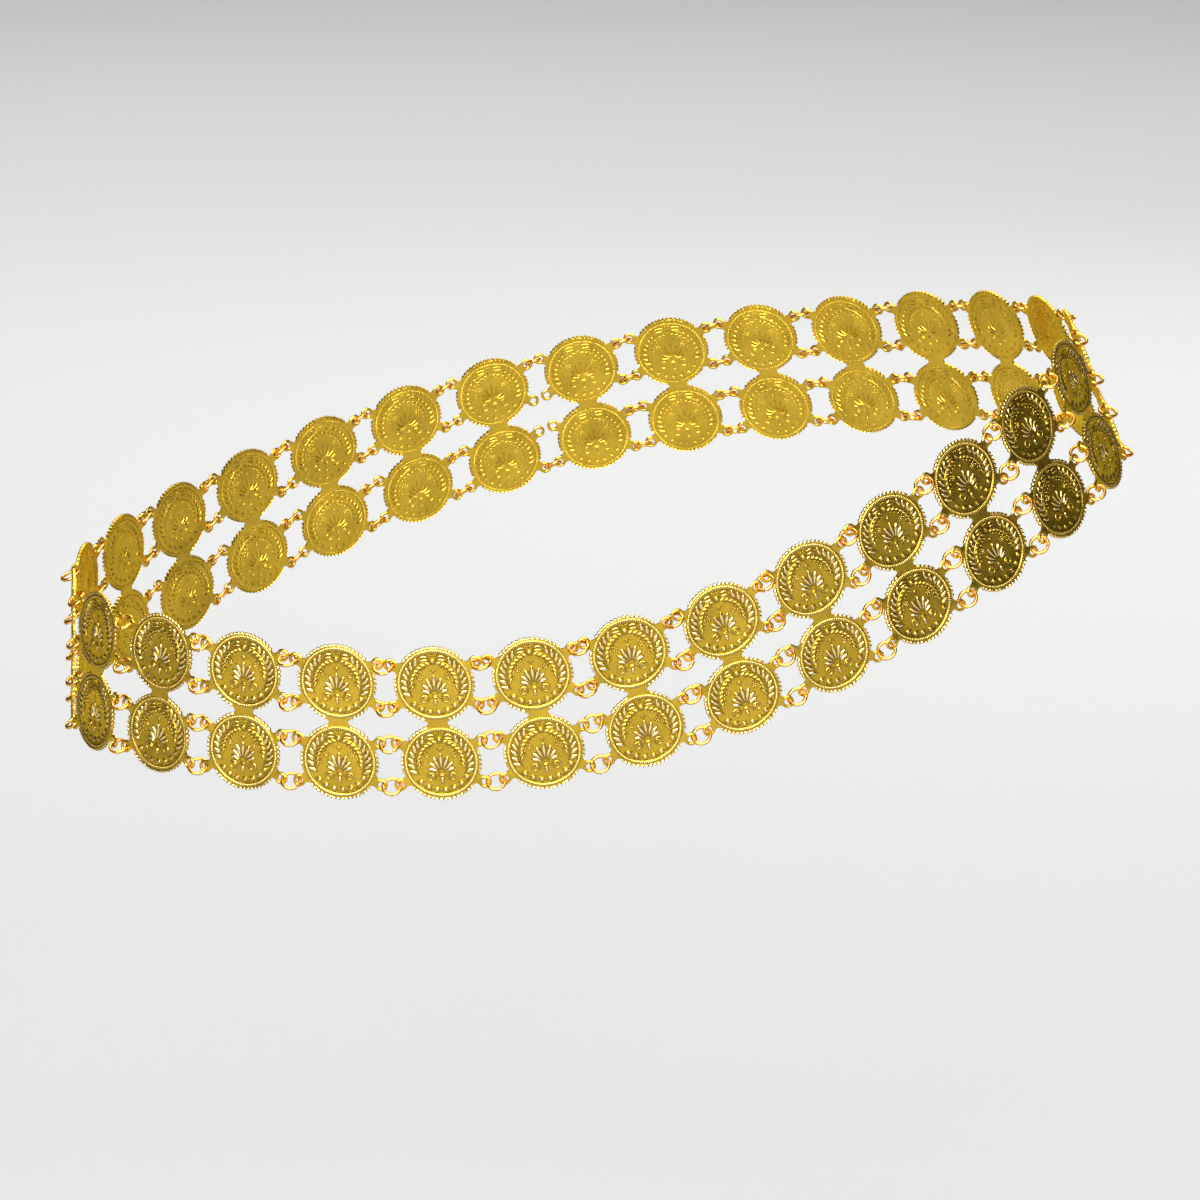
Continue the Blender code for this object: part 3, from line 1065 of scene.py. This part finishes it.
def toned(tree, place, scale, colour_here, share):
    """The colour, darkened here and there to a share of itself."""
    tone = mapped(tree, noise(tree, place, scale), *NOISE_MIDDLE, 0.0, 1.0)
    return mixed(tree, tone, colour_here, [share * channel for channel in colour_here])


def coin_gold(gold):
    """Gold-plated brass: pale polished relief over a slightly dulled, grained field; the paler relief is
    partly a painted highlight, and painted shade darkens the foot of the relief and the back's hollows.
    """
    material, tree, surface, place = new_metal("coin_gold")
    relief, painted_shade_mask = (add_node(tree, "ShaderNodeAttribute", attribute_name=name)["Fac"]
                      for name in ("relief", "painted_shade_mask"))
    height = mapped(tree, relief, RAISED_FROM, RAISED_TO, 0.0, 1.0)
    field = toned(tree, place, TONE_SCALE, gold.field_colour, COIN_TONE)
    # Painted highlight in part: the raised relief takes the paler colour
    raised = mixed(tree, height, field, gold.relief_polish_and_highlight_colour)
    # Painted shade: darkens the colour at the foot of the relief and in the back's hollows
    painted_shade = mapped(tree, painted_shade_mask, *PAINTED_SHADE_RANGE, 0.0, PAINTED_SHADE_MOST)
    feed(tree, surface["Base Color"], mixed(tree, painted_shade, raised, gold.painted_shade_colour))
    smudge = mapped(tree, noise(tree, place, SMUDGE_SCALE, detail=5.0), *NOISE_MOST, *SMUDGE)
    polish = mapped(tree, height, 0.0, 1.0, gold.coin_roughness, gold.coin_roughness - POLISH)
    feed(tree, surface["Roughness"], math_node(tree, "ADD", smudge, polish))
    dents = bumped(tree, noise(tree, place, DENT_SCALE, detail=2.0), *DENTS)
    grain = bumped(tree, noise(tree, place, GRAIN_SCALE, detail=2.0), *GRAIN, Normal=dents)
    feed(tree, surface["Normal"], grain)
    return material


def wire_gold(gold):
    """Warmer polished wire with faint drawing marks."""
    material, tree, surface, place = new_metal("wire_gold")
    feed(tree, surface["Base Color"], toned(tree, place, WIRE_TONE_SCALE, gold.wire_colour, WIRE_TONE))
    wear = mapped(tree, noise(tree, place, WEAR_SCALE, detail=4.0), *NOISE_MOST,
                  *(gold.wire_roughness + change for change in WEAR))
    feed(tree, surface["Roughness"], wear)
    feed(tree, surface["Normal"], bumped(tree, noise(tree, place, DRAWING_SCALE), *DRAWING))
    return material


# Rings and hooks

def ring_place(wire, left, right, up, outward, number):
    """Matrix of a ring: x along the joint, y down its hang."""
    middle, gap, along, hang = joint_frame(left, right, up, outward, number)
    span = min(max(gap + RING_SPAN_SPARE, RING_SPAN_LEAST), RING_SPAN_MOST)
    sag = sqrt(wire.ring_radius ** 2 - (span / 2) ** 2)
    place = Matrix((along, hang, along.cross(hang))).transposed().to_4x4()
    place.translation = middle + along * RING_SHIFT + hang * sag
    return place


def swept_wire(group, curve, radius, sides):
    """Round wire with closed ends along a curve."""
    circle_size = {"Resolution": sides, "Radius": radius}
    section = add_node(group, "GeometryNodeCurvePrimitiveCircle", circle_size)["Curve"]
    return add_node(group, "GeometryNodeCurveToMesh", {
        "Fill Caps": True, "Curve": curve, "Profile Curve": section})["Mesh"]


def rings_tree():
    """A split ring of round wire on each point, turned as the point says."""
    group, given = new_tree("split_rings", ("Ring Radius", "Float"), ("Wire Radius", "Float"),
                            ("Turns", "Float"), ("Offset", "Float"))
    spiral = add_node(group, "GeometryNodeCurveSpiral", {
        "Resolution": RING_FACETS, "Rotations": given["Turns"], "Start Radius": given["Ring Radius"],
        "End Radius": given["Ring Radius"], "Height": given["Offset"]})[0]
    turn = add_node(group, "GeometryNodeInputNamedAttribute", {"Name": "turn"}, data_type="FLOAT_VECTOR")
    copies = add_node(group, "GeometryNodeInstanceOnPoints", {
        "Points": given["Geometry"], "Rotation": turn["Attribute"],
        "Instance": swept_wire(group, spiral, given["Wire Radius"], RING_WIRE_SIDES)})
    end_tree(group, copies[0], given["Material"], smooth=True)
    return group


def wire_tree():
    """Round wire along a line of points."""
    group, given = new_tree("bent_wire", ("Wire Radius", "Float"))
    curve = add_node(group, "GeometryNodeMeshToCurve", {0: given["Geometry"]})[0]
    wire = swept_wire(group, curve, given["Wire Radius"], HOOK_WIRE_SIDES)
    end_tree(group, wire, given["Material"], smooth=True)
    return group


def hook_points(wire, left, right, up, outward, number):
    """The middle of a hook's wire: an eye round one ear, and a hook round the other."""
    middle, gap, along, hang = joint_frame(left, right, up, outward, number)
    reach = gap / 2 - wire.hook_radius
    bends = ((middle - along * reach, pi + HOOK_EYE_TURN, pi / 2, HOOK_FACETS[0]),
             (middle + along * reach, pi / 2, -HOOK_TIP_TURN, HOOK_FACETS[1]))
    return [centre + wire.hook_radius * (along * cos(turn) + hang * sin(turn))
            for centre, start, end, facets in bends
            for turn in (start + (end - start) * step / facets for step in range(facets + 1))]


def add_piece(name, mesh, slot, *nodes):
    """A finished piece on the belt's one body, in place of the solids that it stands for."""
    item = bpy.data.objects.new(name, mesh)
    bpy.context.scene.collection.objects.link(item)
    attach(item, "root")
    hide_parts(*nodes)


def node_name(number):
    return f"coin_pair_{number + 1:02d}"


class BELT_OT_strike_links(bpy.types.Operator):
    """Strikes one link and hangs a copy of it at each place round the belt"""

    bl_idname = "belt.strike_links"
    bl_label = "Strike Links"

    def execute(self, context):
        scene = context.scene
        coin = scene.belt_coin
        material = coin_gold(scene.belt_gold)
        struck = strike(coin, scene.belt_wreath)
        for number, place in enumerate(link_places(scene.belt_worn, coin)):
            mesh = struck.mesh(f"link_{number + 1:02d}", place, sprung(coin, number))
            mesh.materials.append(material)
            add_piece(mesh.name, mesh, "coin_gold", node_name(number))
        return {"FINISHED"}


class BELT_OT_hang_rings(bpy.types.Operator):
    """Hangs the split jump rings, four to each joint but the one that the hooks fasten"""

    bl_idname = "belt.hang_rings"
    bl_label = "Hang Jump Rings"

    def execute(self, context):
        scene = context.scene
        wire = scene.belt_wire
        material = wire_gold(scene.belt_gold)
        tree = rings_tree()
        dice = random.Random(SPLIT_SEED)
        links = link_places(scene.belt_worn, scene.belt_coin)
        for number, up, outward, pairs in list(joints(scene.belt_coin, links))[:-1]:
            places = [ring_place(wire, left, right, up, outward, len(pairs) * number + row)
                      for row, (left, right) in enumerate(pairs)]
            seats = bpy.data.meshes.new("ring_seats")
            seats.from_pydata([place.translation for place in places], [], [])
            turns = seats.attributes.new("turn", "FLOAT_VECTOR", "POINT")
            for place, turn in zip(places, turns.data):
                split = SPLIT_TURN + dice.uniform(-SPLIT_SPREAD, SPLIT_SPREAD)
                turn.vector = (place @ Matrix.Rotation(split, 4, "Z")).to_euler()
            mesh = run_tree("rings", seats, tree, {
                "Ring Radius": wire.ring_radius, "Wire Radius": wire.wire_radius,
                "Turns": wire.ring_turns, "Offset": wire.ring_offset, "Material": material})
            add_piece(f"jump_rings_{number + 1:02d}", mesh, "link_gold", node_name(number))
        return {"FINISHED"}


class BELT_OT_bend_hooks(bpy.types.Operator):
    """Bends the two hooks that fasten the belt behind"""

    bl_idname = "belt.bend_hooks"
    bl_label = "Bend Hooks"

    def execute(self, context):
        scene = context.scene
        wire = scene.belt_wire
        material = bpy.data.materials["wire_gold"]
        tree = wire_tree()
        links = link_places(scene.belt_worn, scene.belt_coin)
        *_, (_, up, outward, pairs) = joints(scene.belt_coin, links)
        for name, row in HOOKED_ROWS.items():
            points = hook_points(wire, *pairs[row], up, outward, row)
            line = bpy.data.meshes.new("hook_line")
            line.from_pydata(points, [(a, a + 1) for a in range(len(points) - 1)], [])
            mesh = run_tree("hook", line, tree, {
                "Wire Radius": wire.wire_radius, "Material": material})
            add_piece(f"bent_hook_{name}", mesh, "link_gold", f"hook_{name}")
        return {"FINISHED"}


# The studio

# Each softbox: its name, its place, where it points, its width and height, its power in watts
# and how wide it spreads in degrees; the last four light the floor on every side of the belt
SOFTBOXES = (
    ("key_softbox", (-1.05, -1.98, 0.79), (0.0, -0.1, 0.0), (1.3, 1.1), 19.0, 100.0),
    ("front_softbox", (-0.30, -2.50, 0.95), (0.0, -0.1, 0.0), (1.5, 0.8), 19.0, 100.0),
    ("high_softbox", (0.10, -1.30, 1.90), (0.0, -0.1, 0.0), (1.4, 0.8), 8.0, 120.0),
    ("fill_softbox", (0.66, -2.30, 0.80), (0.0, -0.1, 0.0), (1.1, 1.0), 10.0, 100.0),
    ("top_softbox", (0.2, -0.3, 2.2), (0.0, -0.1, 0.0), (1.8, 1.4), 9.0, 180.0),
    ("side_softbox", (1.9, 1.3, 0.25), (0.1, 0.0, 0.0), (1.2, 1.0), 1.6, 180.0),
    ("rear_softbox", (1.2, 2.5, 0.8), (0.0, 0.1, 0.0), (1.5, 1.0), 8.0, 120.0),
    ("floor_softbox", (0.0, 2.4, 2.9), (0.0, 2.4, -0.3), (4.0, 4.0), 112.0, 100.0),
    ("back_floor_softbox", (0.0, -4.6, 2.9), (0.0, -4.6, -0.3), (4.0, 4.0), 88.0, 100.0),
    ("left_floor_softbox", (-4.6, 0.0, 2.9), (-4.6, 0.0, -0.3), (4.0, 4.0), 90.0, 80.0),
    ("right_floor_softbox", (4.6, 0.0, 2.9), (4.6, 0.0, -0.3), (4.0, 4.0), 90.0, 80.0),
)


def add_softbox(name, place, target, size, power, spread):
    light = bpy.data.lights.new(name, "AREA")
    light.shape = "RECTANGLE"
    light.size, light.size_y = size
    light.energy = power
    light.spread = radians(spread)
    item = bpy.data.objects.new(name, light)
    item.location = place
    item.rotation_euler = (Vector(target) - Vector(place)).to_track_quat("-Z", "Y").to_euler()
    bpy.context.scene.collection.objects.link(item)


def add_floor(studio):
    """A wide pale floor below the belt."""
    height = cad_box[0][2] - studio.floor_drop
    corners = [(FLOOR_REACH * x, FLOOR_REACH * y, height)
               for x, y in ((-1, -1), (1, -1), (1, 1), (-1, 1))]
    mesh = bpy.data.meshes.new("studio_floor")
    mesh.from_pydata(corners, [], [(0, 1, 2, 3)])
    material = bpy.data.materials.new("floor_paper")
    material.use_nodes = True
    tree = material.node_tree
    surface = tree.nodes["Principled BSDF"].inputs
    surface["Roughness"].default_value = FLOOR_ROUGHNESS
    surface["Base Color"].default_value = (*studio.floor_colour, 1.0)
    place = add_node(tree, "ShaderNodeTexCoord")["Object"]
    feed(tree, surface["Normal"], bumped(tree, noise(tree, place, PAPER_SCALE), *PAPER))
    mesh.materials.append(material)
    floor = bpy.data.objects.new("studio_floor", mesh)
    bpy.context.scene.collection.objects.link(floor)


def add_camera(studio):
    """The photograph's view: from in front, a little to the left and above."""
    toward = Vector((-cos(studio.elevation) * sin(studio.turn),
                     -cos(studio.elevation) * cos(studio.turn), sin(studio.elevation)))
    target = Vector((AIM_ASIDE * cos(studio.turn), -AIM_ASIDE * sin(studio.turn), -AIM_DROP))
    camera = bpy.data.cameras.new("camera")
    camera.sensor_width = SENSOR_WIDTH
    camera.lens = studio.focal_pixels / studio.frame_pixels * camera.sensor_width
    camera.clip_start = CLIP_START
    item = bpy.data.objects.new("camera", camera)
    item.location = target + studio.distance * toward
    item.rotation_euler = (-toward).to_track_quat("-Z", "Y").to_euler()
    bpy.context.scene.collection.objects.link(item)
    bpy.context.scene.camera = item


def light_world(strength):
    world = bpy.data.worlds.new("studio_air")
    world.use_nodes = True
    background = world.node_tree.nodes["Background"]
    background.inputs["Color"].default_value = AIR_COLOUR
    background.inputs["Strength"].default_value = strength
    bpy.context.scene.world = world


class BELT_OT_build_studio(bpy.types.Operator):
    """Lays the floor, hangs the lights and sets up the camera"""

    bl_idname = "belt.build_studio"
    bl_label = "Build Studio"

    def execute(self, context):
        studio = context.scene.belt_studio
        add_floor(studio)
        for name, *setting in SOFTBOXES:
            add_softbox(name, *setting)
        light_world(studio.air)
        add_camera(studio)
        context.scene.view_settings.view_transform = "Standard"
        return {"FINISHED"}


OPERATORS = (BELT_OT_strike_links, BELT_OT_hang_rings, BELT_OT_bend_hooks, BELT_OT_build_studio)


class BELT_PT_panel(bpy.types.Panel):
    """Sizes and finishes of the coin belt, and the steps that make it"""

    bl_idname = "BELT_PT_panel"
    bl_label = "Coin Belt"
    bl_space_type = "VIEW_3D"
    bl_region_type = "UI"
    bl_category = "Coin Belt"

    def draw(self, context):
        for name, kind in SETTINGS.items():
            box = self.layout.box()
            for field in kind.__annotations__:
                box.prop(getattr(context.scene, name), field)
        for operator in OPERATORS:
            self.layout.operator(operator.bl_idname)


def register():
    for kind in (*SETTINGS.values(), *OPERATORS, BELT_PT_panel):
        bpy.utils.register_class(kind)
    for name, kind in SETTINGS.items():
        setattr(bpy.types.Scene, name, PointerProperty(type=kind))


def unregister():
    for name in SETTINGS:
        delattr(bpy.types.Scene, name)
    for kind in reversed((*SETTINGS.values(), *OPERATORS, BELT_PT_panel)):
        bpy.utils.unregister_class(kind)


def main():
    register()
    bpy.ops.belt.build_studio()
    bpy.ops.belt.strike_links()
    bpy.ops.belt.hang_rings()
    bpy.ops.belt.bend_hooks()


if __name__ == "__main__":
    main()
